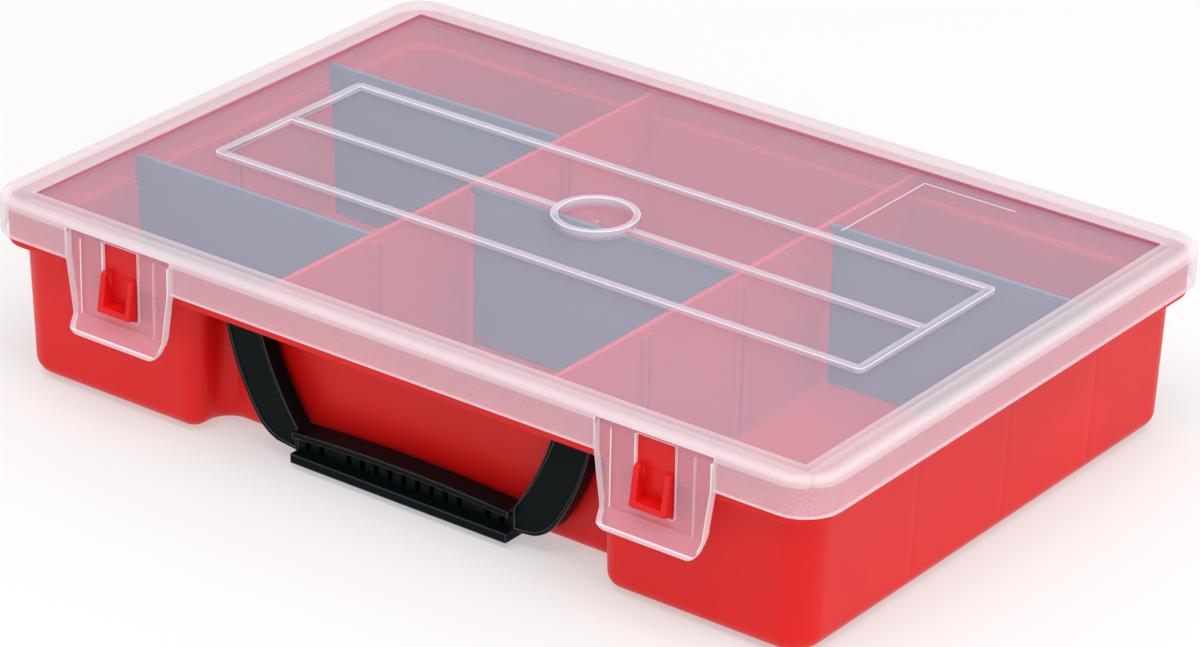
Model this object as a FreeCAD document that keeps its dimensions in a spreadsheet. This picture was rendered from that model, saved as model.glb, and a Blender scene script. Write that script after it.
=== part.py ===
import FreeCAD, Part
import math
import os
import Sketcher
from FreeCAD import Vector

# Organiser case: a red tray with fixed partitions, a frosted lid on a clip-on rear hinge, two
# tongue latches hinged in the lid's front skirt, a bail handle in a front recess, and four
# dividers that drop between guide ribs. Millimetres, +Z up, front towards -Y. The origin is the
# middle of the resting face.

doc = FreeCAD.newDocument("organiser_case")
sheet = doc.addObject("Spreadsheet::Sheet", "Sizes")

driving = {
    # lid
    "lidLength": 320.0,
    "lidDepth": 217.6,
    "lidCorner": 14.0,
    "lidWall": 1.7,
    "skirtLow": 50.9,
    "panelTop": 61.3,
    "rimTop": 63.8,
    "rimWidth": 12.2,
    "rimSlopeWide": 7.4,
    "rimSlopeDrop": 1.2,
    "rimRound": 3.2,
    "ribSpanLong": 252.0,
    "ribSpanDeep": 74.0,
    "ribWide": 3.0,
    "ribHigh": 1.6,
    "ribSunk": 0.3,
    "ribCorner": 2.4,
    "ringOuter": 14.2,
    "ringInner": 11.9,
    "ringHigh": 3.1,
    "nubRadius": 0.9,
    "nubHigh": 0.5,
    # tray
    "baseHigh": 1.0,
    "baseInset": 6.9,
    "weld": 0.6,
    "trayHalfLength": 151.6,
    "trayHalfDepth": 100.4,
    "trayCorner": 10.2,
    "trayWall": 1.8,
    "draft": 2.2,
    "bottomRound": 5.5,
    "flangeLow": 47.3,
    "flangeThick": 1.8,
    "rimGap": 1.0,
    "upstandTop": 60.6,
    "recessHalf": 78.8,
    "recessBack": 85.9,
    "recessCorner": 6.0,
    "innerRound": 3.0,
    "partitionAt": 52.6,
    "partitionThick": 1.8,
    "partitionTop": 57.8,
    # dividers and their guide ribs
    "dividerThick": 1.6,
    "dividerTop": 57.8,
    "dividerFirst": -45.5,
    "dividerPitch": 49.0,
    "dividerGap": 0.3,
    "guideGap": 2.0,
    "guideThick": 1.2,
    "guideDeep": 2.0,
    # latches and catches
    "latchAt": 103.0,
    "latchWide": 41.9,
    "latchTaper": 2.8,
    "latchSideGap": 0.25,
    "windowTopGap": 0.8,
    "windowDeep": 4.9,
    "latchRib": 6.2,
    "latchFace": 109.2,
    "plateFace": 107.75,
    "plateThick": 1.4,
    "latchPivotHigh": 60.8,
    "ribTop": 60.4,
    "slotWide": 14.2,
    "slotLow": 36.5,
    "flareHigh": 33.4,
    "lipLow": 27.8,
    "lipOut": 112.1,
    "latchCorner": 3.6,
    "catchWide": 13.2,
    "catchWall": 2.0,
    "catchTop": 50.8,
    "catchRound": 1.4,
    "catchLow": 38.1,
    "catchTopOut": 108.9,
    "catchLowOut": 111.3,
    "padLow": 37.0,
    # rear hinge
    "hingeOut": 109.0,
    "hingeHigh": 45.2,
    "barRadius": 1.6,
    "clipGap": 0.08,
    "clipWall": 1.42,
    "clipWide": 13.0,
    "clipMouth": 2.3,
    "lugWide": 3.0,
    "lugGap": 0.4,
    "lugRadius": 2.6,
    # handle
    "pivotOut": 92.2,
    "pivotHigh": 43.2,
    "handleThick": 6.4,
    "armOuter": 71.0,
    "armInner": 56.8,
    "armSweep": 80.0,
    "armElbowOut": 58.5,
    "armElbowHigh": 12.5,
    "armElbow": 16.0,
    "armFootOut": 50.0,
    "armFootHigh": 6.0,
    "armInSweep": 100.0,
    "gripHalf": 41.6,
    "gripTop": 12.4,
    "gripTopThick": 2.1,
    "gripArch": 580.0,
    "gripLow": 2.2,
    "gripLowThick": 3.1,
    "gripOut": 98.6,
    "webOut": 95.0,
    "gripSlotWide": 2.0,
    "gripSlotPitch": 5.4,
    "gripSlotDeep": 4.0,
    "armBead": 1.3,
    "armSunk": 0.5,
    "armHollow": 4.2,
    "armHollowWall": 2.0,
    "bossRadius": 2.7,
    "stubRadius": 2.2,
    "stubGap": 0.06,
}


class Size:
    """A number together with the sheet expression that gives it."""

    def __init__(self, value, text):
        self.value = float(value)
        self.text = text

    def combine(self, other, sign, value):
        return Size(value, f"({self.text} {sign} {other.text})")

    def __add__(self, other):
        other = sized(other)
        return self.combine(other, "+", self.value + other.value)

    def __sub__(self, other):
        other = sized(other)
        return self.combine(other, "-", self.value - other.value)

    def __rsub__(self, other):
        return sized(other) - self

    def __mul__(self, factor):
        factor = sized(factor)
        return self.combine(factor, "*", self.value * factor.value)

    def __truediv__(self, factor):
        factor = sized(factor)
        return self.combine(factor, "/", self.value / factor.value)

    def __neg__(self):
        return Size(-self.value, f"(-1 * {self.text})")

    __radd__ = __add__
    __rmul__ = __mul__


def sized(number):
    return number if isinstance(number, Size) else Size(number, f"{float(number):.6g}")


sizes = {}
for row, (alias, number) in enumerate(driving.items(), start=1):
    sheet.set(f"A{row}", alias)
    sheet.set(f"B{row}", str(number))
    sheet.setAlias(f"B{row}", alias)
    sizes[alias] = Size(number, f"Sizes.{alias}")
doc.recompute()


def s(alias):
    return sizes[alias]


# ---- sketches and features ----


def new_body(name):
    body = doc.addObject("PartDesign::Body", name)
    body.Label = name
    return body


def new_sketch(body, name, plane, lift=0):
    """An empty sketch on one of the body's origin planes, lifted along the plane's normal.

    XY: x, y, normal +Z. XZ: x, z, normal -Y. YZ: y, z, normal +X.
    """
    sketch = body.newObject("Sketcher::SketchObject", name)
    support = next(f for f in body.Origin.OriginFeatures if f.Role == plane + "_Plane")
    sketch.AttachmentSupport = [(support, "")]
    sketch.MapMode = "FlatFace"
    sketch.setExpression("AttachmentOffset.Base.z", sized(lift).text)
    return sketch


def bind(sketch, kind, *where, size):
    """A dimension constraint whose value follows the sheet."""
    number = sketch.addConstraint(Sketcher.Constraint(kind, *where, size.value))
    sketch.setExpression(f"Constraints[{number}]", size.text)


def place(sketch, edge, end, point):
    bind(sketch, "DistanceX", edge, end, size=sized(point[0]))
    bind(sketch, "DistanceY", edge, end, size=sized(point[1]))


def arc_between(start, end, radius, side):
    """The short arc from start to end, its centre on the left (1) or the right (-1) of the way."""
    chord = end - start
    reach = math.sqrt(radius**2 - (chord.Length / 2) ** 2)
    left = Vector(-chord.y, chord.x, 0).normalize()
    centre = start + chord * 0.5 + left * side * reach
    first, last = (start, end) if side > 0 else (end, start)
    turn_in = math.atan2(first.y - centre.y, first.x - centre.x)
    turn_out = math.atan2(last.y - centre.y, last.x - centre.x)
    circle = Part.Circle(centre, Vector(0, 0, 1), radius)
    return Part.ArcOfCircle(circle, turn_in, turn_out)


def outline(sketch, points, arcs=None):
    """A closed loop through the points. arcs: index of the point an arc leaves -> (radius, side)."""
    arcs = arcs or {}
    flat = [Vector(sized(x).value, sized(y).value, 0) for x, y in points]
    ends = []
    for i, start in enumerate(flat):
        end = flat[(i + 1) % len(flat)]
        if i in arcs:
            radius, side = arcs[i]
            edge = sketch.addGeometry(arc_between(start, end, radius.value, side), False)
            ends.append((edge, 1, 2) if side > 0 else (edge, 2, 1))
        else:
            edge = sketch.addGeometry(Part.LineSegment(start, end), False)
            ends.append((edge, 1, 2))
    for i, (edge, near, far) in enumerate(ends):
        following = ends[(i + 1) % len(ends)]
        sketch.addConstraint(
            Sketcher.Constraint("Coincident", edge, far, following[0], following[1])
        )
        place(sketch, edge, near, points[i])
        if i in arcs:
            bind(sketch, "Radius", edge, size=arcs[i][0])


def rectangle(sketch, low_x, low_y, high_x, high_y):
    outline(sketch, [(low_x, low_y), (high_x, low_y), (high_x, high_y), (low_x, high_y)])


def stepped(point, other, distance):
    """The point moved towards another that is level with it on one axis."""
    moved = []
    for here, there in zip(point, other):
        gap = sized(there).value - sized(here).value
        way = 0 if abs(gap) < 1e-6 else math.copysign(1, gap)
        moved.append(here + way * distance if way else here)
    return tuple(moved)


def soft_outline(sketch, points, radii):
    """A closed loop of sides along the axes, each corner rounded by its own radius."""
    loop, arcs = [], {}
    for i, corner in enumerate(points):
        before, after = points[i - 1], points[(i + 1) % len(points)]
        way_in = [sized(a).value - sized(b).value for a, b in zip(corner, before)]
        way_out = [sized(a).value - sized(b).value for a, b in zip(after, corner)]
        left = way_in[0] * way_out[1] - way_in[1] * way_out[0] > 0
        arcs[len(loop)] = (sized(radii[i]), 1 if left else -1)
        loop.append(stepped(corner, before, radii[i]))
        loop.append(stepped(corner, after, radii[i]))
    outline(sketch, loop, arcs)


def rounded(sketch, half_x, half_y, radius):
    """A rectangle about the middle with round corners."""
    corners = [(-half_x, -half_y), (half_x, -half_y), (half_x, half_y), (-half_x, half_y)]
    soft_outline(sketch, corners, [radius] * 4)


def circle(sketch, x, y, radius):
    centre = Vector(sized(x).value, sized(y).value, 0)
    edge = sketch.addGeometry(Part.Circle(centre, Vector(0, 0, 1), radius.value), False)
    place(sketch, edge, 3, (x, y))
    bind(sketch, "Radius", edge, size=radius)


def extrude(body, kind, sketch, length, reverse=False, taper=None):
    """A Pad (along the sketch's normal) or a Pocket (against it), or the other way if reversed."""
    before = body.Tip.Shape.Volume if kind == "Pocket" else None
    feature = body.newObject("PartDesign::" + kind, kind + sketch.Name)
    feature.Profile = sketch
    feature.Type = "Length"
    feature.setExpression("Length", sized(length).text)
    feature.Reversed = reverse
    if taper is not None:
        feature.setExpression("TaperAngle", taper.text)
    sketch.Visibility = False
    body.Tip = feature
    doc.recompute()
    if feature.Shape.isNull() or (before and feature.Shape.Volume > before - 0.01):
        raise RuntimeError(f"{feature.Name} in {body.Label} does nothing: {feature.State}")
    return feature


def round_edges(body, test, radius):
    """A Fillet on the tip's edges that pass the test, which is given each edge."""
    base = body.Tip
    names = [f"Edge{i}" for i, e in enumerate(base.Shape.Edges, start=1) if test(e)]
    if not names:
        raise RuntimeError(f"no edge to round after {base.Name} in {body.Label}")
    fillet = body.newObject("PartDesign::Fillet", "Fillet")
    fillet.Base = (base, names)
    fillet.setExpression("Radius", sized(radius).text)
    body.Tip = fillet
    doc.recompute()
    if fillet.Shape.isNull():
        raise RuntimeError(f"the fillet after {base.Name} in {body.Label} failed")
    return fillet


def middle(edge):
    return edge.valueAt((edge.FirstParameter + edge.LastParameter) / 2)


# ---- tray ----


def notched(sketch, half_x, half_y, notch_half, notch_back, outer, inner):
    """A rectangle with the handle recess cut into its front side, and its corners rounded."""
    points = [
        (-half_x, -half_y),
        (-notch_half, -half_y),
        (-notch_half, -notch_back),
        (notch_half, -notch_back),
        (notch_half, -half_y),
        (half_x, -half_y),
        (half_x, half_y),
        (-half_x, half_y),
    ]
    soft_outline(sketch, points, [outer] + [inner] * 4 + [outer] * 3)


def widening(height):
    """How far a drafted wall stands out at a height, beyond its foot on the base."""
    return Size(
        height.value * math.tan(math.radians(s("draft").value)),
        f"({height.text} * tan({s('draft').text} * 1 deg))",
    )


def foot_of_web(inner, floor, way):
    """A web's two lowest points at a wall, from the floor up, inside the wall's rounded foot."""
    return [
        (inner - way * s("innerRound") / 3, floor - s("trayWall") / 3),
        (inner + way * s("trayWall") / 3, floor + s("innerRound") * 0.7),
    ]


def make_tray():
    body = new_body("tray")
    half_x, half_y = s("trayHalfLength"), s("trayHalfDepth")
    notch_half, notch_back = s("recessHalf"), s("recessBack")
    base, wall = s("baseHigh"), s("trayWall")
    flange, shelf = s("flangeLow"), s("flangeLow") + s("flangeThick")

    # the raised face that the case rests on
    inset = s("baseInset")
    sketch = new_sketch(body, "RestingFace", "XY")
    notched(
        sketch,
        half_x - inset,
        half_y - inset,
        notch_half + inset,
        notch_back - inset,
        s("bottomRound"),
        s("bottomRound"),
    )
    extrude(body, "Pad", sketch, base + s("weld"))

    sketch = new_sketch(body, "TrayFoot", "XY", base)
    notched(sketch, half_x, half_y, notch_half, notch_back, s("trayCorner"), s("recessCorner"))
    extrude(body, "Pad", sketch, flange - base, taper=s("draft"))

    def on_foot(edge):
        spot = middle(edge)
        box = edge.BoundBox
        if box.ZMax > base.value + 0.01 or box.ZMin < base.value - 0.01:
            return False
        if abs(spot.x) > half_x.value - 4 or abs(spot.y) > half_y.value - 4:
            return True
        behind = abs(spot.y + notch_back.value) < 4 and abs(spot.x) < notch_half.value + 4
        beside = abs(abs(spot.x) - notch_half.value) < 4 and spot.y < -notch_back.value
        return behind or beside

    round_edges(body, on_foot, s("bottomRound"))

    # the flange and the upstand that the lid's skirt goes round
    rim_x = s("lidLength") / 2 - s("lidWall") - s("rimGap")
    rim_y = s("lidDepth") / 2 - s("lidWall") - s("rimGap")
    rim_corner = s("lidCorner") - s("lidWall") - s("rimGap")
    sketch = new_sketch(body, "Flange", "XY", flange)
    rounded(sketch, rim_x, rim_y, rim_corner)
    extrude(body, "Pad", sketch, s("upstandTop") - flange)

    # the hollow above the shelf, then the hollow below it
    sketch = new_sketch(body, "UpperHollow", "XY", s("upstandTop"))
    rounded(sketch, rim_x - wall, rim_y - wall, rim_corner - wall)
    extrude(body, "Pocket", sketch, s("upstandTop") - shelf)

    out = widening(shelf - base)
    sketch = new_sketch(body, "LowerHollow", "XY", shelf)
    notched(
        sketch,
        half_x - wall + out,
        half_y - wall + out,
        notch_half + wall - out,
        notch_back - wall + out,
        s("trayCorner") - wall + out,
        s("recessCorner") - 1,
    )
    floor = base + wall
    extrude(body, "Pocket", sketch, shelf - floor, taper=-s("draft"))
    level = floor.value

    def on_floor(edge):
        return abs(edge.BoundBox.ZMin - level) < 0.01 and abs(edge.BoundBox.ZMax - level) < 0.01

    round_edges(body, on_floor, s("innerRound"))

    # fixed partitions, wall to wall and over the shelf
    bite = wall / 2
    front_high = bite - notch_back - out
    rear_high = half_y - bite + out
    front_foot = foot_of_web(wall - notch_back, floor, -1)
    rear_foot = foot_of_web(half_y - wall, floor, 1)
    for side in (-1, 1):
        at = side * s("partitionAt") - s("partitionThick") / 2
        sketch = new_sketch(body, "Partition", "YZ", at)
        points = [
            *reversed(front_foot),
            *rear_foot,
            (rear_high, shelf - bite),
            (rim_y - bite, shelf - bite),
            (rim_y - bite, s("partitionTop")),
            (bite - rim_y, s("partitionTop")),
            (bite - rim_y, shelf - bite),
            (front_high, shelf - bite),
        ]
        outline(sketch, points)
        extrude(body, "Pad", sketch, s("partitionThick"))

    # guide ribs: a pair at each divider place, on the end walls and both sides of the partitions
    deep, clear = s("guideDeep"), s("guideGap") / 2
    wall_low = half_x - wall
    wall_high = wall_low + out
    face = s("partitionThick") / 2
    for step in range(3):
        centre = s("dividerFirst") + step * s("dividerPitch")
        for start in (centre - clear - s("guideThick"), centre + clear):
            sketch = new_sketch(body, "Guides", "XZ", -(start + s("guideThick")))
            for side in (-1, 1):
                outline(
                    sketch,
                    [
                        (side * (wall_low - deep), floor - wall / 3),
                        *foot_of_web(side * wall_low, floor, side),
                        (side * (wall_high + bite), shelf - bite / 2),
                        (side * (wall_high - deep), shelf - bite / 2),
                    ],
                )
                for away in (-1, 1):
                    root = side * s("partitionAt") + away * face / 2
                    tip = side * s("partitionAt") + away * (face + deep)
                    rectangle(sketch, root, floor - bite, tip, s("partitionTop") - 2)
            extrude(body, "Pad", sketch, s("guideThick"))

    # catches: a pad on the wall under the flange, and a cup on it that the latch slot drops over
    out_face = -rim_y
    half = s("catchWide") / 2
    for side in (-1, 1):
        at = side * s("latchAt") - half
        sketch = new_sketch(body, "CatchPad", "YZ", at)
        points = [
            (-half_y, s("padLow") - 4),
            (-half_y, flange + 1),
            (out_face, flange + 1),
            (out_face, s("padLow")),
        ]
        outline(sketch, points)
        extrude(body, "Pad", sketch, s("catchWide"))
        sketch = new_sketch(body, "CatchCup", "YZ", at)
        points = [
            (out_face + 1, s("padLow")),
            (out_face + 1, s("catchTop")),
            (s("catchRound") - s("catchTopOut"), s("catchTop")),
            (-s("catchTopOut") - s("catchRound") * 0.2, s("catchTop") - s("catchRound")),
            (-s("catchLowOut"), s("catchLow")),
            (out_face, s("padLow")),
        ]
        outline(sketch, points, {2: (s("catchRound") * 1.1, 1)})
        extrude(body, "Pad", sketch, s("catchWide"))
        sketch = new_sketch(body, "CatchMouth", "XZ", rim_y + 10)
        low = side * s("latchAt") - half + s("catchWall")
        high = side * s("latchAt") + half - s("catchWall")
        rectangle(sketch, low, s("catchLow") + s("catchWall"), high, s("catchTop") + 5)
        extrude(body, "Pocket", sketch, 10)

    # rear hinge: three lugs under the flange at each station, and the bar they carry
    axis_y, axis_z = s("hingeOut"), s("hingeHigh")
    for side in (-1, 1):
        first = side * s("latchAt") - 1.5 * s("lugWide") - s("clipWide") - 2 * s("lugGap")
        pitch = s("lugWide") + s("clipWide") + 2 * s("lugGap")
        for lug in range(3):
            start = first + lug * pitch
            sketch = new_sketch(body, "Lug", "YZ", start)
            reach = axis_y - 0.4
            drop = s("lugRadius")
            points = [
                (half_y, axis_z - drop - 3.5),
                (reach, axis_z - drop),
                (reach, axis_z + drop - 0.6),
                (rim_y - 0.5, flange + 0.5),
                (half_y, flange + 0.5),
            ]
            outline(sketch, points)
            extrude(body, "Pad", sketch, s("lugWide"))
            sketch = new_sketch(body, "LugNose", "YZ", start)
            circle(sketch, axis_y, axis_z, s("lugRadius"))
            extrude(body, "Pad", sketch, s("lugWide"))
        sketch = new_sketch(body, "Bar", "YZ", first)
        circle(sketch, axis_y, axis_z, s("barRadius"))
        extrude(body, "Pad", sketch, 2 * pitch + s("lugWide"))

    # the handle's pivot holes, through both side walls of the recess
    sketch = new_sketch(body, "PivotHole", "YZ", notch_half + 4)
    circle(sketch, -s("pivotOut"), s("pivotHigh"), s("stubRadius") + s("stubGap"))
    extrude(body, "Pocket", sketch, 2 * (notch_half + 4))
    return body


# ---- lid ----


def make_lid():
    body = new_body("lid")
    half_x, half_y = s("lidLength") / 2, s("lidDepth") / 2
    wall, low, top = s("lidWall"), s("skirtLow"), s("rimTop")
    panel_x, panel_y = half_x - s("rimWidth"), half_y - s("rimWidth")

    sketch = new_sketch(body, "Cover", "XY", low)
    rounded(sketch, half_x, half_y, s("lidCorner"))
    extrude(body, "Pad", sketch, top - low)

    # the sunk panel, the rim's slope down to it, and the rim's rounded outer edge
    sketch = new_sketch(body, "PanelSink", "XY", top)
    rectangle(sketch, -panel_x, -panel_y, panel_x, panel_y)
    extrude(body, "Pocket", sketch, top - s("panelTop"))

    def at_top(edge):
        return edge.BoundBox.ZMin > top.value - 0.01

    def inner(edge):
        spot = middle(edge)
        return abs(spot.x) < panel_x.value + 0.1 and abs(spot.y) < panel_y.value + 0.1

    base = body.Tip
    names = [
        f"Edge{i}"
        for i, e in enumerate(base.Shape.Edges, start=1)
        if at_top(e) and inner(e)
    ]
    slope = body.newObject("PartDesign::Chamfer", "RimSlope")
    slope.Base = (base, names)
    slope.ChamferType = "Two distances"
    slope.setExpression("Size", s("rimSlopeWide").text)
    slope.setExpression("Size2", s("rimSlopeDrop").text)
    body.Tip = slope
    doc.recompute()
    drop = slope.Shape.BoundBox.ZMax - s("rimSlopeDrop").value
    if not any(abs(e.BoundBox.ZMax - drop) < 0.01 for e in slope.Shape.Edges):
        slope.FlipDirection = True
        doc.recompute()

    def outer(edge):
        spot = middle(edge)
        far_x = abs(spot.x) > half_x.value - s("lidCorner").value
        far_y = abs(spot.y) > half_y.value - s("lidCorner").value
        on_side = abs(spot.x) > half_x.value - 0.1 or abs(spot.y) > half_y.value - 0.1
        on_corner = far_x and far_y and edge.Curve.TypeId == "Part::GeomCircle"
        return at_top(edge) and (on_side or on_corner)

    round_edges(body, outer, s("rimRound"))

    # the underside: one hollow below the panel, and a groove that the tray's upstand enters
    under = s("panelTop") - wall
    corner = s("lidCorner") - wall
    sketch = new_sketch(body, "Underside", "XY", low)
    rounded(sketch, half_x - wall, half_y - wall, corner)
    extrude(body, "Pocket", sketch, under - low, reverse=True)
    groove_top = s("rimTop") - s("rimSlopeDrop") - 1.2
    sketch = new_sketch(body, "Groove", "XY", under)
    rounded(sketch, half_x - wall, half_y - wall, corner)
    rectangle(sketch, -panel_x - wall, -panel_y - wall, panel_x + wall, panel_y + wall)
    extrude(body, "Pocket", sketch, groove_top - under, reverse=True)

    # stacking ribs, the middle ring and the moulding nub
    rib, sunk = s("ribWide"), s("panelTop") - s("ribSunk")
    long, deep = s("ribSpanLong") / 2, s("ribSpanDeep") / 2
    sketch = new_sketch(body, "RibFrame", "XY", sunk)
    rounded(sketch, long, deep, s("ribCorner"))
    rectangle(sketch, rib - long, rib - deep, long - rib, deep - rib)
    extrude(body, "Pad", sketch, s("ribHigh") + s("ribSunk"))
    sketch = new_sketch(body, "MiddleRib", "XY", sunk)
    start = (s("ringInner") + s("ringOuter")) / 2
    for side in (-1, 1):
        rectangle(sketch, side * start, -rib / 2, side * (long - rib / 2), rib / 2)
    extrude(body, "Pad", sketch, s("ribHigh") + s("ribSunk"))
    sketch = new_sketch(body, "Ring", "XY", sunk)
    circle(sketch, 0, 0, s("ringOuter"))
    circle(sketch, 0, 0, s("ringInner"))
    extrude(body, "Pad", sketch, s("ringHigh") + s("ribSunk"))
    sketch = new_sketch(body, "Nub", "XY", sunk)
    circle(sketch, 0, 0, s("nubRadius"))
    extrude(body, "Pad", sketch, s("nubHigh") + s("ribSunk"))

    # the windows that the latches hang in
    for side in (-1, 1):
        sketch = new_sketch(body, "LatchWindow", "XZ", half_y + 2)
        half = s("latchWide") / 2 + s("latchSideGap")
        centre = side * s("latchAt")
        rectangle(sketch, centre - half, low - 2, centre + half, s("latchPivotHigh") + s("windowTopGap"))
        extrude(body, "Pocket", sketch, s("windowDeep"))

    # rear hinge clips, which press over the tray's bars from above
    axis_y, axis_z = s("hingeOut"), s("hingeHigh")
    bore = s("barRadius") + s("clipGap")
    shell = bore + s("clipWall")
    for side in (-1, 1):
        pitch = s("lugWide") + s("clipWide") + 2 * s("lugGap")
        for clip in range(2):
            start = side * s("latchAt") - s("lugWide") / 2 - s("lugGap") - s("clipWide") + clip * pitch
            sketch = new_sketch(body, "ClipTab", "YZ", start)
            rectangle(sketch, half_y - wall, axis_z + bore, half_y, low + 1)
            extrude(body, "Pad", sketch, s("clipWide"))
            sketch = new_sketch(body, "ClipShell", "YZ", start)
            circle(sketch, axis_y, axis_z, shell)
            extrude(body, "Pad", sketch, s("clipWide"))
            sketch = new_sketch(body, "ClipBore", "YZ", start + s("clipWide"))
            circle(sketch, axis_y, axis_z, bore)
            extrude(body, "Pocket", sketch, s("clipWide"))
            sketch = new_sketch(body, "ClipMouth", "YZ", start + s("clipWide"))
            mouth = s("clipMouth") / 2
            rectangle(sketch, axis_y - mouth, axis_z - shell - 1, axis_y + mouth, axis_z)
            extrude(body, "Pocket", sketch, s("clipWide"))
    return body


# ---- latches ----


def make_latch(name, side):
    body = new_body(name)
    centre = side * s("latchAt")
    half = s("latchWide") / 2
    back = s("plateFace") - s("plateThick")
    axis_y = s("plateFace") - s("plateThick") / 2
    pivot = s("latchPivotHigh")
    thick = s("plateThick")
    outside, through = s("lipOut") + 5, 15

    # side profile: ribs' face, the flared lip, and the plate's back
    sketch = new_sketch(body, "Profile", "YZ", centre - half)
    points = [
        (-back, pivot),
        (-s("plateFace"), pivot),
        (-s("plateFace"), s("ribTop")),
        (-s("latchFace"), s("ribTop") - 0.6),
        (-s("latchFace"), s("flareHigh")),
        (-s("lipOut"), s("lipLow") + 1.6),
        (-s("lipOut"), s("lipLow")),
        (-s("lipOut") + thick, s("lipLow")),
        (-s("plateFace") + 0.4, s("flareHigh") - 1.2),
        (-back, s("flareHigh") + 1.6),
    ]
    outline(sketch, points)
    extrude(body, "Pad", sketch, s("latchWide"))

    def across(edge):
        way = edge.Vertexes[-1].Point - edge.Vertexes[0].Point
        return abs(way.x) > 0.99 * way.Length

    def bend(edge):
        spot = middle(edge)
        at_flare = abs(spot.z - s("flareHigh").value) < 2 and spot.y < -back.value - 0.1
        return across(edge) and at_flare

    round_edges(body, bend, 2.5)

    # the taper below the skirt, and the rounded bottom corners
    sketch = new_sketch(body, "Taper", "XZ", outside)
    low, skirt = s("lipLow") - 1, s("skirtLow")
    narrow = half - s("latchTaper")
    for way in (-1, 1):
        outline(
            sketch,
            [
                (centre + way * (half + 2), skirt),
                (centre + way * half, skirt),
                (centre + way * narrow, s("flareHigh") - 2),
                (centre + way * (narrow - 0.3), low),
                (centre + way * (half + 2), low),
            ],
        )
    extrude(body, "Pocket", sketch, through)
    height = s("lipLow").value + 0.01

    def corner(edge):
        spot = middle(edge)
        way = edge.Vertexes[-1].Point - edge.Vertexes[0].Point
        return edge.BoundBox.ZMax < height and abs(way.y) > 0.9 * way.Length

    round_edges(body, corner, s("latchCorner"))

    # the sunk middle between the side ribs, and the slot that drops over the catch
    sketch = new_sketch(body, "SunkMiddle", "XZ", outside)
    span = half - s("latchRib")
    rectangle(sketch, centre - span, s("flareHigh") + 1, centre + span, pivot + 2)
    extrude(body, "Pocket", sketch, outside - s("plateFace"))
    sketch = new_sketch(body, "Slot", "XZ", outside)
    slot = s("slotWide") / 2
    rectangle(sketch, centre - slot, s("slotLow"), centre + slot, s("ribTop"))
    extrude(body, "Pocket", sketch, through)

    # the flexing root, drawn as a barrel on the bending line
    sketch = new_sketch(body, "Root", "YZ", centre - half)
    circle(sketch, -axis_y, pivot, thick / 2)
    extrude(body, "Pad", sketch, s("latchWide"))
    return body


# ---- handle ----


def arm_outline(sketch, side, inset, high):
    """One arm, seen from the front, drawn in from its edge: outer sweep, elbow, foot, inner sweep."""
    foot_in = s("gripHalf") + inset
    points = [
        (side * (s("armOuter") - inset), high),
        (side * (s("armElbowOut") - inset * 0.9), s("armElbowHigh") + inset * 0.5),
        (side * (s("armFootOut") - inset * 0.4), s("armFootHigh") + inset),
        (side * foot_in, s("armFootHigh") - 1.0 + inset),
        (side * foot_in, s("gripTop") + inset * 0.5),
        (side * (s("armInner") + inset), high),
    ]
    arcs = {
        0: (s("armSweep") - inset, -side),
        1: (s("armElbow") - inset, -side),
        4: (s("armInSweep") + inset, side),
    }
    outline(sketch, points, arcs)


def arched(sketch, half, low, high, arch_low):
    """A band of the grip whose top, and underside if asked, rise in a long arch."""
    points = [(-half, low), (half, low), (half, high), (-half, high)]
    arcs = {2: (s("gripArch"), 1)}
    if arch_low:
        arcs[0] = (s("gripArch"), -1)
    outline(sketch, points, arcs)


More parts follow.
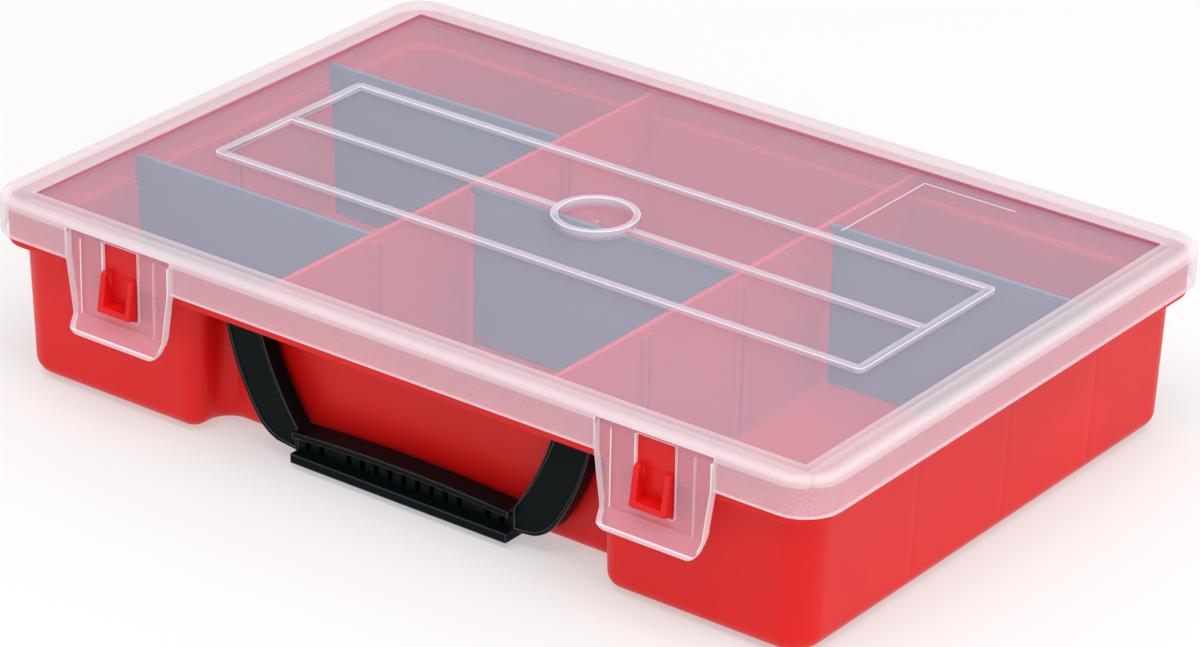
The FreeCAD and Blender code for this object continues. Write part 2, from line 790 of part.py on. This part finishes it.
def make_handle():
    body = new_body("handle")
    half = s("handleThick") / 2
    front, back = s("pivotOut") + half, s("pivotOut") - half
    top = s("pivotHigh")

    sketch = new_sketch(body, "Arms", "XZ", back)
    for side in (-1, 1):
        arm_outline(sketch, side, sized(0), top)
    extrude(body, "Pad", sketch, s("handleThick"))

    # the grip: a web between two flanges
    end = s("gripHalf") + s("weld")
    sketch = new_sketch(body, "Web", "XZ", back)
    arched(sketch, end, s("gripLow") + 1, s("gripTop") - 1, False)
    extrude(body, "Pad", sketch, s("webOut") - back)
    sketch = new_sketch(body, "GripLow", "XZ", back)
    rectangle(sketch, -end, s("gripLow"), end, s("gripLow") + s("gripLowThick"))
    extrude(body, "Pad", sketch, s("gripOut") - back)
    sketch = new_sketch(body, "GripTop", "XZ", back)
    arched(sketch, end, s("gripTop") - s("gripTopThick"), s("gripTop"), True)
    extrude(body, "Pad", sketch, s("gripOut") - 0.8 - back)

    # slots in the web, with one place left plain near each end
    sketch = new_sketch(body, "WebSlots", "XZ", s("webOut") + 0.5)
    low = s("gripLow") + s("gripLowThick") + 0.9
    high = s("gripTop") - s("gripTopThick") - 0.3
    for number in range(-7, 8):
        if abs(number) != 5:
            at = number * s("gripSlotPitch")
            rectangle(sketch, at - s("gripSlotWide") / 2, low, at + s("gripSlotWide") / 2, high)
    extrude(body, "Pocket", sketch, s("gripSlotDeep") + 0.5)

    # sunk arm faces inside a bead, and the arms hollowed from behind
    sketch = new_sketch(body, "ArmFace", "XZ", front + 1)
    for side in (-1, 1):
        arm_outline(sketch, side, s("armBead"), top - 1)
    extrude(body, "Pocket", sketch, s("armSunk") + 1)
    sketch = new_sketch(body, "ArmHollow", "XZ", back - 1)
    for side in (-1, 1):
        arm_outline(sketch, side, s("armHollowWall"), top - 6)
    extrude(body, "Pocket", sketch, s("armHollow") + 1, reverse=True)

    # rounded arm tops, bosses out to the recess walls, and the stubs that turn in them
    wall_at = s("recessHalf") - widening(top - s("baseHigh"))
    rounds = (
        ("ArmTop", s("armInner"), s("armOuter"), half),
        ("Boss", s("armOuter") - 1, wall_at - 1.6, s("bossRadius")),
        ("Stub", wall_at - 2, wall_at + s("trayWall") + s("weld"), s("stubRadius")),
    )
    for name, near, far, radius in rounds:
        for side in (-1, 1):
            start = near if side > 0 else -far
            sketch = new_sketch(body, name, "YZ", start)
            circle(sketch, -s("pivotOut"), top, radius)
            extrude(body, "Pad", sketch, far - near)
    return body


# ---- dividers ----


def make_divider(name, bay, place_number):
    """A plate across one bay: -1 left, 0 middle, 1 right."""
    body = new_body(name)
    gap, top = s("dividerGap"), s("dividerTop")
    floor = s("baseHigh") + s("trayWall") + gap
    face = s("partitionAt") - s("partitionThick") / 2 - gap
    if bay == 0:
        points = [(-face, floor), (face, floor), (face, top), (-face, top)]
    else:
        near = s("partitionAt") + s("partitionThick") / 2 + gap
        shelf = s("flangeLow") + s("flangeThick")
        low_end = s("trayHalfLength") - s("trayWall") - gap
        high_end = low_end + widening(shelf - s("baseHigh"))
        cut = s("innerRound") + 1
        points = [
            (bay * near, floor),
            (bay * (low_end - cut), floor),
            (bay * low_end, floor + cut),
            (bay * high_end, shelf),
            (bay * high_end, top),
            (bay * near, top),
        ]
    centre = s("dividerFirst") + place_number * s("dividerPitch")
    sketch = new_sketch(body, "Plate", "XZ", -(centre + s("dividerThick") / 2))
    outline(sketch, points)
    extrude(body, "Pad", sketch, s("dividerThick"))
    return body


pieces = [
    make_tray(),
    make_lid(),
    make_latch("latch_left", -1),
    make_latch("latch_right", 1),
    make_handle(),
    make_divider("divider_left_front", -1, 0),
    make_divider("divider_left_rear", -1, 2),
    make_divider("divider_middle", 0, 1),
    make_divider("divider_right_rear", 1, 2),
]

doc.recompute()
for item in doc.Objects:
    if "Invalid" in item.State or "Error" in item.State:
        raise RuntimeError(f"{item.Label} did not compute: {item.State}")

os.makedirs("parts", exist_ok=True)
for piece in pieces:
    shape = piece.Shape
    if shape.isNull() or not shape.isValid() or len(shape.Solids) != 1:
        raise RuntimeError(f"{piece.Label} isn't one valid solid")
    shape.exportStep(f"parts/{piece.Label}.step")
    box = shape.BoundBox
    print(f"{piece.Label}: {shape.Volume / 1000:.1f} cm3,", end=" ")
    print(f"x {box.XMin:.2f} {box.XMax:.2f}, y {box.YMin:.2f} {box.YMax:.2f},", end=" ")
    print(f"z {box.ZMin:.2f} {box.ZMax:.2f}")
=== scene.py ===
import math
import bmesh
import bpy
import numpy as np
from mathutils import Matrix, Vector


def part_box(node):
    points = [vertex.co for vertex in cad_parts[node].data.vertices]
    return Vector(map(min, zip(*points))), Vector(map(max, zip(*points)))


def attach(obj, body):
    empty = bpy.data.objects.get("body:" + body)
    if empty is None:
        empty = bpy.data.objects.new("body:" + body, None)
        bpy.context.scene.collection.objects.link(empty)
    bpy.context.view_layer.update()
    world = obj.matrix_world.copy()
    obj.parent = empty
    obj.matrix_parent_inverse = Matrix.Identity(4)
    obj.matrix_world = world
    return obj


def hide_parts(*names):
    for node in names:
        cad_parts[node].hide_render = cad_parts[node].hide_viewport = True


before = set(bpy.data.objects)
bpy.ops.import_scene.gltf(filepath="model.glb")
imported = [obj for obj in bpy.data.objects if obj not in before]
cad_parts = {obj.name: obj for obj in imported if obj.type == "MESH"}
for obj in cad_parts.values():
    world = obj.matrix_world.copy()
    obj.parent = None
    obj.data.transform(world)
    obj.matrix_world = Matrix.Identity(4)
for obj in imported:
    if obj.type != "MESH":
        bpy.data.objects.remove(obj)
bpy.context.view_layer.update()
mm = 0.001
print("organiser case: frame loaded")


class Field:
    # a node socket that can be added, multiplied and compared like a number
    def __init__(self, tree, socket):
        self.tree = tree
        self.socket = socket

    def work(self, operation, *others):
        node = self.tree.nodes.new("ShaderNodeMath")
        node.operation = operation
        for place, value in enumerate((self, *others)):
            if isinstance(value, Field):
                self.tree.links.new(value.socket, node.inputs[place])
            else:
                node.inputs[place].default_value = value
        return Field(self.tree, node.outputs[0])

    def __add__(self, other):
        return self.work("ADD", other)

    def __sub__(self, other):
        return self.work("SUBTRACT", other)

    def __mul__(self, other):
        return self.work("MULTIPLY", other)

    def __abs__(self):
        return self.work("ABSOLUTE")

    def atLeast(self, other):
        return self.work("MAXIMUM", other)

    def atMost(self, other):
        return self.work("MINIMUM", other)

    def near(self, value, reach):
        # 1 where the field equals the value, falling to 0 at that reach away from it
        return (abs(self - value) * (-1.0 / reach) + 1.0).atLeast(0.0).atMost(1.0)

    def rising(self, low, high):
        # 0 below low, 1 above high, smooth between
        node = self.tree.nodes.new("ShaderNodeMapRange")
        node.interpolation_type = "SMOOTHSTEP"
        node.inputs["From Min"].default_value = low
        node.inputs["From Max"].default_value = high
        self.tree.links.new(self.socket, node.inputs["Value"])
        return Field(self.tree, node.outputs["Result"])


class Recipe:
    # one material under construction: its tree, its place on the object, and its shader
    def __init__(self, name):
        self.material = bpy.data.materials.new(name)
        self.material.use_nodes = True
        self.tree = self.material.node_tree
        self.shader = self.tree.nodes["Principled BSDF"]
        self.place = self.tree.nodes.new("ShaderNodeTexCoord").outputs["Object"]
        split = self.tree.nodes.new("ShaderNodeSeparateXYZ")
        self.tree.links.new(self.place, split.inputs[0])
        self.x, self.y, self.z = (Field(self.tree, out) for out in split.outputs)

    def noise(self, scale, detail=2.0, rough=0.5):
        node = self.tree.nodes.new("ShaderNodeTexNoise")
        node.inputs["Scale"].default_value = scale
        node.inputs["Detail"].default_value = detail
        node.inputs["Roughness"].default_value = rough
        self.tree.links.new(self.place, node.inputs["Vector"])
        return Field(self.tree, node.outputs["Fac"])

    def blend(self, share, first, second):
        # the first colour where share is 0, the second where it is 1
        node = self.tree.nodes.new("ShaderNodeMix")
        node.data_type = "RGBA"
        self.tree.links.new(share.socket, node.inputs[0])
        node.inputs[6].default_value = (*first, 1.0)
        node.inputs[7].default_value = (*second, 1.0)
        return Field(self.tree, node.outputs[2])

    def give(self, socket, value):
        target = self.shader.inputs[socket]
        if isinstance(value, Field):
            self.tree.links.new(value.socket, target)
        elif isinstance(value, tuple):
            target.default_value = (*value, 1.0)
        else:
            target.default_value = value

    def relief(self, height):
        # height in metres
        bump = self.tree.nodes.new("ShaderNodeBump")
        bump.inputs["Strength"].default_value = 1.0
        bump.inputs["Distance"].default_value = 1.0
        self.tree.links.new(height.socket, bump.inputs["Height"])
        self.tree.links.new(bump.outputs["Normal"], self.shader.inputs["Normal"])


trayLook = {
    "red": (0.73, 0.0065, 0.0055),
    "deepRed": (0.66, 0.005, 0.0045),
    "cloudScale": 14.0,
    "roughness": 0.34,
    "roughnessSpread": 0.12,
    "roughnessScale": 60.0,
    "gloss": 0.28,
    "glow": 0.10,  # how much light goes in and comes out again
    "glowReach": 1.5 * mm,
    "glowColour": (1.0, 0.2, 0.15),
    "peelScale": 900.0,
    "peelDepth": 0.012 * mm,
    "endWall": (151 * mm, 152 * mm),
    "sinkPlaces": (-45.5 * mm, 3.5 * mm, 52.5 * mm),
    "sinkReach": 2.2 * mm,
    "sinkDepth": 0.10 * mm,
}
cloudRange = (0.35, 0.65)  # the part of a noise that turns into soft clouds


def trayPlastic():
    look = trayLook
    r = Recipe("trayPlastic")
    cloud = r.noise(look["cloudScale"], 3.0).rising(*cloudRange)
    r.give("Base Color", r.blend(cloud, look["red"], look["deepRed"]))
    patchy = r.noise(look["roughnessScale"], 3.0) * look["roughnessSpread"]
    r.give("Roughness", patchy + look["roughness"])
    r.give("Specular IOR Level", look["gloss"])
    r.give("Subsurface Weight", look["glow"])
    r.shader.inputs["Subsurface Radius"].default_value = look["glowColour"]
    r.shader.inputs["Subsurface Scale"].default_value = look["glowReach"]
    # the end walls sink a little where the guide ribs stand behind them
    endWall = abs(r.x).rising(*look["endWall"])
    sink = r.y.near(look["sinkPlaces"][0], look["sinkReach"])
    for place in look["sinkPlaces"][1:]:
        sink = sink + r.y.near(place, look["sinkReach"])
    peel = r.noise(look["peelScale"]) * look["peelDepth"]
    r.relief(peel - sink * endWall * look["sinkDepth"])
    return r.material


# the lid's frosted plastic: each zone's own veil over what lies behind it
lidLook = {
    "panel": {"colour": (0.88, 0.82, 1.0), "veil": 0.162, "speck": 0.015, "roughness": 0.20},
    "rib": {"colour": (0.80, 0.80, 0.93), "veil": 0.34, "speck": 0.02, "roughness": 0.12},
    "ribWall": {"colour": (0.88, 0.86, 0.95), "veil": 0.56, "speck": 0.02, "roughness": 0.12},
    "ring": {"colour": (0.82, 0.82, 0.92), "veil": 0.40, "speck": 0.02, "roughness": 0.12},
    "skirt": {"colour": (0.84, 0.73, 0.83), "veil": 0.29, "speck": 0.18, "roughness": 0.5},
    "rim": {"colour": (0.84, 0.76, 0.81), "veil": 0.36, "speck": 0.035, "roughness": 0.35},
    "step": {"colour": (0.80, 0.20, 0.38), "veil": 0.48, "speck": 0.02, "roughness": 0.3},
    "tongue": {"colour": (0.78, 0.67, 0.82), "veil": 0.19, "speck": 0.02, "roughness": 0.3},
    # painted highlight: the softened edges are whiter and more opaque, standing in for light
    # caught along them
    "edge": {"colour": (0.91, 0.89, 0.93), "veil": 0.76, "speck": 0.05, "roughness": 0.3},
}
lidFinish = {
    "speckScale": 2400.0,
    "speckRange": (0.3, 0.7),
    "speckDepth": 0.12 * mm,
    "gloss": 0.4,
    # the rim's bands are painted highlights: more veil along its rounded outer edge and along
    # its inner edge
    "rimHighlightBands": ((1.2 * mm, 3.0 * mm, 0.26), (11.0 * mm, 3.5 * mm, 0.10)),  # place, reach, veil
}
# where the lid's zones begin and end, in millimetres; sizes count on both sides of the
# middle, and the far step is the one at the left and at the rear
lidPlan = {
    "halfLength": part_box("lid")[1].x / mm,
    "halfDepth": 108.8,
    "corner": 14.0,
    "rimWide": 12.2,
    "panelHalfDepth": 96.6,
    "skirtFoot": 51.1,
    "panelUnder": 59.0,
    "rimFrom": 60.7,
    "panelTop": 61.3,
    "ribFoot": 61.35,
    "ringBand": (11.0, 14.5),
    "touch": 0.1,
    "edgesFrom": 61.6,
    "flowingCorner": (148.2, 97.0, 62.4),
    "farStepTop": 63.0,
    "farStepFrom": (-140.0, 90.0),
    "farStepTo": (150.0, 99.0),
}


def gapFromOutline(r):
    # how far inside the lid's rounded outline a point lies, in plan: the corner's radius less
    # the distance from the corner's centre, or from the line through it on a straight side
    corner = lidPlan["corner"] * mm
    overX = abs(r.x) - (lidPlan["halfLength"] * mm - corner)
    overY = abs(r.y) - (lidPlan["halfDepth"] * mm - corner)
    outX, outY = overX.atLeast(0.0), overY.atLeast(0.0)
    beyond = (outX * outX + outY * outY).work("SQRT")
    return (beyond + overX.atLeast(overY).atMost(0.0)) * -1.0 + corner


def lidPlastic(zone):
    look = lidLook[zone]
    r = Recipe("lid" + zone[0].upper() + zone[1:])
    speck = r.noise(lidFinish["speckScale"], 2.0, 0.6).rising(*lidFinish["speckRange"])
    veil = (speck - 0.5) * look["speck"] + look["veil"]
    # painted highlights: the rim whitens in bands along its rounded outer edge and its inner
    # edge
    if zone == "rim":
        gap = gapFromOutline(r)
        for place, reach, share in lidFinish["rimHighlightBands"]:
            veil = veil + gap.near(place, reach) * share
    r.give("Base Color", look["colour"])
    r.give("Roughness", look["roughness"])
    r.give("Specular IOR Level", lidFinish["gloss"])
    r.give("Alpha", veil)
    r.relief(speck * (lidFinish["speckDepth"] * look["speck"]))
    return r.material


handleLook = {
    "face": {"colour": (0.0022, 0.0056, 0.0066), "roughness": 0.24, "gloss": 0.05},
    # painted highlight: the handle's softened edges are painted lighter than its faces; their
    # stronger gloss is real
    "edge": {"colour": (0.0120, 0.0160, 0.0180), "roughness": 0.20, "gloss": 0.40},
    "roughnessSpread": 0.12,
    "roughnessScale": 80.0,
    "peelScale": 1400.0,
    "peelDepth": 0.010 * mm,
}


def blackPlastic(part):
    look = handleLook[part]
    r = Recipe("handle" + part.capitalize())
    r.give("Base Color", look["colour"])
    patchy = r.noise(handleLook["roughnessScale"], 3.0) * handleLook["roughnessSpread"]
    r.give("Roughness", patchy + look["roughness"])
    r.give("Specular IOR Level", look["gloss"])
    r.relief(r.noise(handleLook["peelScale"]) * handleLook["peelDepth"])
    return r.material


dividerLook = {
    "slate": (0.030, 0.200, 0.275),
    "deepSlate": (0.027, 0.182, 0.252),
    "cloudScale": 22.0,
    "roughness": 0.45,
    "peelScale": 900.0,
    "peelDepth": 0.012 * mm,
}


def dividerPlastic():
    look = dividerLook
    r = Recipe("dividerPlastic")
    cloud = r.noise(look["cloudScale"], 3.0).rising(*cloudRange)
    r.give("Base Color", r.blend(cloud, look["slate"], look["deepSlate"]))
    r.give("Roughness", look["roughness"])
    r.relief(r.noise(look["peelScale"]) * look["peelDepth"])
    return r.material


shellPlan = {
    "mergeWithin": 0.002 * mm,
    "sharpFrom": math.radians(32),
    "edgeWidth": {  # how wide a softened edge is
        "lid": 0.30 * mm, "latch": 0.28 * mm, "tray": 0.30 * mm, "handle": 0.35 * mm,
        "divider": 0.25 * mm,
    },
}


def mergedCopy(node, name):
    # the node's mesh with its loose triangles joined
    mesh = bpy.data.meshes.new(name)
    work = bmesh.new()
    work.from_mesh(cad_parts[node].data)
    bmesh.ops.remove_doubles(work, verts=work.verts, dist=shellPlan["mergeWithin"])
    for face in work.faces:
        face.smooth = True
    work.to_mesh(mesh)
    work.free()
    shell = bpy.data.objects.new(name, mesh)
    bpy.context.scene.collection.objects.link(shell)
    return shell


def markSharp(mesh, treat):
    # treat says for a sharp edge's middle whether to "soften" it, keep it "crisp", or let the
    # shading "flow" over it; an inner corner is never softened
    work = bmesh.new()
    work.from_mesh(mesh)
    weight = work.edges.layers.float.new("bevel_weight_edge")
    for side in work.edges:
        sharp = len(side.link_faces) == 2 and side.calc_face_angle() > shellPlan["sharpFrom"]
        kind = treat((side.verts[0].co + side.verts[1].co) / (2 * mm)) if sharp else "flow"
        if kind == "soften" and side.calc_face_angle_signed() <= 0:
            kind = "crisp"
        side[weight] = 1.0 if kind == "soften" else 0.0
        side.smooth = kind != "crisp"
    work.to_mesh(mesh)
    work.free()


def softenAll(spot):
    return "soften"


def softened(node, body, piece, materials, edgeHighlightAt=None, zoned=None, treat=softenAll):
    # the node's own shape with its sharp edges softened; the highlight index says which
    # material they take, a painted edge highlight where one is given
    shell = mergedCopy(node, node + "Shell")
    markSharp(shell.data, treat)
    for material in materials:
        shell.data.materials.append(material)
    if zoned:
        zoned(shell.data)
    bevel = shell.modifiers.new("softEdges", "BEVEL")
    bevel.width = shellPlan["edgeWidth"][piece]
    bevel.segments = 2
    bevel.limit_method = "WEIGHT"
    bevel.use_clamp_overlap = False
    # the bevel's faces take the painted highlight material: lighter lines standing in for light
    # caught on the edges
    if edgeHighlightAt is not None:
        bevel.material = edgeHighlightAt
    even = shell.modifiers.new("evenShading", "WEIGHTED_NORMAL")
    even.keep_sharp = True
    even.weight = 100
    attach(shell, body)
    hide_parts(node)


def faceTable(mesh):
    # every face's centre in millimetres, unsigned in x and y, and its unsigned normal
    centre = np.zeros(len(mesh.polygons) * 3)
    normal = np.zeros(len(mesh.polygons) * 3)
    mesh.polygons.foreach_get("center", centre)
    mesh.polygons.foreach_get("normal", normal)
    x, y, z = np.abs(centre.reshape(-1, 3)).T / mm
    return x, y, z, np.abs(normal.reshape(-1, 3)).T


lidPieces = ("panel", "rib", "ribWall", "skirt", "rim", "ring", "step", "edge")
wallBelow = 0.3  # an upward normal smaller than this is a wall's
flatAbove = 0.7


def lidZones(mesh):
    # the sunk panel is clear, its ribs and ring glassy, the rim and the skirt frosted
    x, y, z, (_, _, up) = faceTable(mesh)
    plan = lidPlan
    touch = plan["touch"]
    panelX, panelY = plan["halfLength"] - plan["rimWide"], plan["panelHalfDepth"]
    inside = (x < panelX - touch) & (y < panelY - touch)
    raised = inside & (z > plan["ribFoot"])
    fromCentre = np.hypot(x, y)
    onRing = raised & (fromCentre > plan["ringBand"][0]) & (fromCentre < plan["ringBand"][1])
    atPanel = (x < panelX + touch) & (y < panelY + touch)
    onStep = atPanel & ~inside & (z > plan["panelTop"]) & (up < wallBelow)
    zone = np.full(len(x), lidPieces.index("skirt"))
    zone[z > plan["rimFrom"]] = lidPieces.index("rim")
    zone[inside & (z > plan["panelUnder"])] = lidPieces.index("panel")
    zone[raised] = lidPieces.index("rib")
    zone[raised & (up < wallBelow)] = lidPieces.index("ribWall")
    zone[onRing] = lidPieces.index("ring")
    zone[onStep] = lidPieces.index("step")
    # the skirt's flat foot takes the painted edge highlight, a bright line along the bottom
    zone[(z < plan["skirtFoot"]) & (up > flatAbove)] = lidPieces.index("edge")
    mesh.polygons.foreach_set("material_index", zone.astype(np.int32))


def lidEdges(spot):
    # the rim's corners flow; the panel's underside and the far side of the step stay crisp and
    # take no painted edge highlight
    plan = lidPlan
    x, y, z = abs(spot.x), abs(spot.y), spot.z
    cornerX, cornerY, cornerZ = plan["flowingCorner"]
    if x > cornerX and y > cornerY and z > cornerZ:
        return "flow"
    farSide = spot.x < plan["farStepFrom"][0] or spot.y > plan["farStepFrom"][1]
    withinStep = x < plan["farStepTo"][0] and spot.y < plan["farStepTo"][1]
    farStep = farSide and withinStep and z < plan["farStepTop"]
    wall = 2 * plan["touch"]
    outside = x > plan["halfLength"] - wall or y > plan["halfDepth"] - wall
    return "soften" if outside or (z > plan["edgesFrom"] and not farStep) else "crisp"


latchPlan = {  # millimetres
    "middle": 103.0,
    "rootFrom": 59.5,
    "frontFrom": 107.5,
    "sunkFoot": 34.4,
    "sunkFootReach": 0.3,
    "slotHalf": 8.0,
    "plateFront": 107.7,
    "sideFrom": 17.0,
    "lipTop": 33.0,
    "cutTop": 60.2,
    "cutBelow": 0.35,  # a cut edge's normal points this little along the plate's thickness
}


def latchEdges(spot):
    # the front's outline and the slot; not the root, the back or the foot of the sunk middle
    atFoot = abs(spot.z - latchPlan["sunkFoot"]) <= latchPlan["sunkFootReach"]
    front = spot.z < latchPlan["rootFrom"] and spot.y < -latchPlan["frontFrom"] and not atFoot
    return "soften" if front else "crisp"


def latchZones(mesh):
    # the plate is clear and its cut edges gather light
    x, y, z, (_, along, _) = faceTable(mesh)
    fromMiddle = np.abs(x - latchPlan["middle"])
    onSlot = (fromMiddle < latchPlan["slotHalf"]) & (y < latchPlan["plateFront"])
    bright = onSlot | (fromMiddle > latchPlan["sideFrom"]) | (z < latchPlan["lipTop"])
    cut = (along < latchPlan["cutBelow"]) & (z < latchPlan["cutTop"]) & bright
    mesh.polygons.foreach_set("material_index", cut.astype(np.int32))


edge = lidPlastic("edge")
softened(
    "lid", "lid", "lid",
    [lidPlastic(name) for name in lidPieces[:-1]] + [edge],
    edgeHighlightAt=lidPieces.index("edge"), zoned=lidZones, treat=lidEdges,
)
tongue = lidPlastic("tongue")
for side in ("left", "right"):
    name = "latch_" + side
    softened(
        name, name, "latch", [tongue, edge],
        edgeHighlightAt=1, zoned=latchZones, treat=latchEdges,
    )

hairline = {
    "wide": 0.30 * mm,
    "high": 0.08 * mm,
    "path": ((63.5, 43.5), (63.5, 90.5), (98.0, 90.5)),  # millimetres on the panel
}


def makeHairline():
    # a low ridge: a small rectangle carried along a path that turns square corners
    path = np.array(hairline["path"]) * mm
    panelTop = lidPlan["panelTop"] * mm
    way = np.diff(path, axis=0)
    way = way / np.linalg.norm(way, axis=1)[:, None]
    left = np.column_stack((-way[:, 1], way[:, 0]))
    mitre = np.vstack((left[:1], left[:-1] + left[1:], left[-1:]))
    low, high = panelTop - hairline["high"], panelTop + hairline["high"]
    across = np.array((0.5, 0.5, -0.5, -0.5)) * hairline["wide"]
    height = np.array((low, high, high, low))
    plan = path[:, None, :] + mitre[:, None, :] * across[None, :, None]
    lift = np.broadcast_to(height[None, :, None], (len(path), 4, 1))
    points = np.concatenate((plan, lift), axis=2).reshape(-1, 3)
    step, turn = np.meshgrid(np.arange(len(path) - 1), np.arange(4), indexing="ij")
    here, beside = step * 4 + turn, step * 4 + (turn + 1) % 4
    faces = np.stack((here, here + 4, beside + 4, beside), axis=2).reshape(-1, 4).tolist()
    last = len(points) - 4
    faces += [[0, 1, 2, 3], [last + 3, last + 2, last + 1, last]]
    mesh = bpy.data.meshes.new("panelHairline")
    mesh.from_pydata(points.tolist(), [], faces)
    # the ridge wears the painted edge highlight
    mesh.materials.append(edge)
    ridge = bpy.data.objects.new("panelHairline", mesh)
    bpy.context.scene.collection.objects.link(ridge)
    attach(ridge, "lid")


makeHairline()
print("lid and latches done")

crispPlaces = {  # millimetres
    "lugFrom": 101.0,
    "lugTop": 48.5,
    "catchFront": -107.0,
    "catchTop": 48.8,
    "gripHalf": 41.5,
    "gripTop": 12.0,
    "webFront": -96.0,
}


def trayEdges(spot):
    # the hinge lugs and the small round tops of the catches stay as they are
    onLug = spot.y > crispPlaces["lugFrom"] and spot.z < crispPlaces["lugTop"]
    onCatchTop = spot.y < crispPlaces["catchFront"] and spot.z > crispPlaces["catchTop"]
    return "crisp" if onLug or onCatchTop else "soften"


def handleEdges(spot):
    # all but the rims of the slots in the grip
    beyondGrip = abs(spot.x) > crispPlaces["gripHalf"] or spot.z > crispPlaces["gripTop"]
    return "soften" if beyondGrip or spot.y < crispPlaces["webFront"] else "crisp"


softened("tray", "tray", "tray", [trayPlastic()], treat=trayEdges)
softened(
    "handle", "handle", "handle",
    [blackPlastic("face"), blackPlastic("edge")], edgeHighlightAt=1, treat=handleEdges,
)
dividerMaterial = dividerPlastic()
for node in sorted(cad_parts):
    if node.startswith("divider"):
        softened(node, "tray", "divider", [dividerMaterial])
print("tray, handle and dividers done")

floorLook = {
    "colour": (0.42, 0.42, 0.42),
    "glow": 0.43,
    "roughness": 0.9,
    "half": 6.0,
    "drop": 0.02 * mm,
}


def makeFloor():
    half, level = floorLook["half"], -floorLook["drop"]
    corners = [(x * half, y * half, level) for x, y in ((-1, -1), (1, -1), (1, 1), (-1, 1))]
    mesh = bpy.data.meshes.new("floor")
    mesh.from_pydata(corners, [], [(0, 1, 2, 3)])
    floor = bpy.data.objects.new("floor", mesh)
    bpy.context.scene.collection.objects.link(floor)
    r = Recipe("floorPaint")
    r.give("Base Color", floorLook["colour"])
    r.give("Roughness", floorLook["roughness"])
    r.give("Emission Color", (1.0, 1.0, 1.0))
    r.give("Emission Strength", floorLook["glow"])
    mesh.materials.append(r.material)


lightPlan = {
    "world": 0.85,
    "key": {"place": (0.4, -0.6, 2.0), "size": (1.8, 1.4), "power": 22.0},
    "fill": {"place": (1.6, -0.2, 1.1), "size": (1.4, 1.4), "power": 8.0},
    "aim": (0, 0, 0.03),
}


def makeLight(name):
    plan = lightPlan[name]
    data = bpy.data.lights.new(name, "AREA")
    data.shape = "RECTANGLE"
    data.size, data.size_y = plan["size"]
    data.energy = plan["power"]
    light = bpy.data.objects.new(name, data)
    light.location = plan["place"]
    way = Vector(lightPlan["aim"]) - Vector(plan["place"])
    light.rotation_euler = way.to_track_quat("-Z", "Y").to_euler()
    bpy.context.scene.collection.objects.link(light)


def makeWorld():
    world = bpy.data.worlds.new("studio")
    world.use_nodes = True
    shade = world.node_tree.nodes["Background"]
    shade.inputs["Color"].default_value = (1.0, 1.0, 1.0, 1.0)
    shade.inputs["Strength"].default_value = lightPlan["world"]
    bpy.context.scene.world = world
    bpy.context.scene.view_settings.view_transform = "Standard"
    bpy.context.scene.cycles.transparent_max_bounces = 32


cameraPlan = {
    "azimuth": 36.47,
    "elevation": 25.65,
    "roll": 1.25,
    "distance": 1.61809,
    "aim": (-0.0043, 0.00945, 0.02115),
    "lens": 152.48,
    "sensor": 36.0,
    "farClip": 50.0,
}


def makeCamera():
    plan = cameraPlan
    az, el, roll = (math.radians(plan[key]) for key in ("azimuth", "elevation", "roll"))
    back = Vector((math.sin(az) * math.cos(el), -math.cos(az) * math.cos(el), math.sin(el)))
    right = Vector((math.cos(az), math.sin(az), 0.0))
    up = back.cross(right)
    turnedRight = right * math.cos(roll) + up * math.sin(roll)
    turnedUp = up * math.cos(roll) - right * math.sin(roll)
    data = bpy.data.cameras.new("camera")
    data.lens = plan["lens"]
    data.sensor_width = plan["sensor"]
    data.clip_end = plan["farClip"]
    camera = bpy.data.objects.new("camera", data)
    place = Vector(plan["aim"]) + back * plan["distance"]
    turn = Matrix((turnedRight, turnedUp, back)).transposed().to_4x4()
    camera.matrix_world = Matrix.Translation(place) @ turn
    bpy.context.scene.collection.objects.link(camera)
    bpy.context.scene.camera = camera


makeFloor()
makeWorld()
makeLight("key")
makeLight("fill")
makeCamera()
print("stage done")
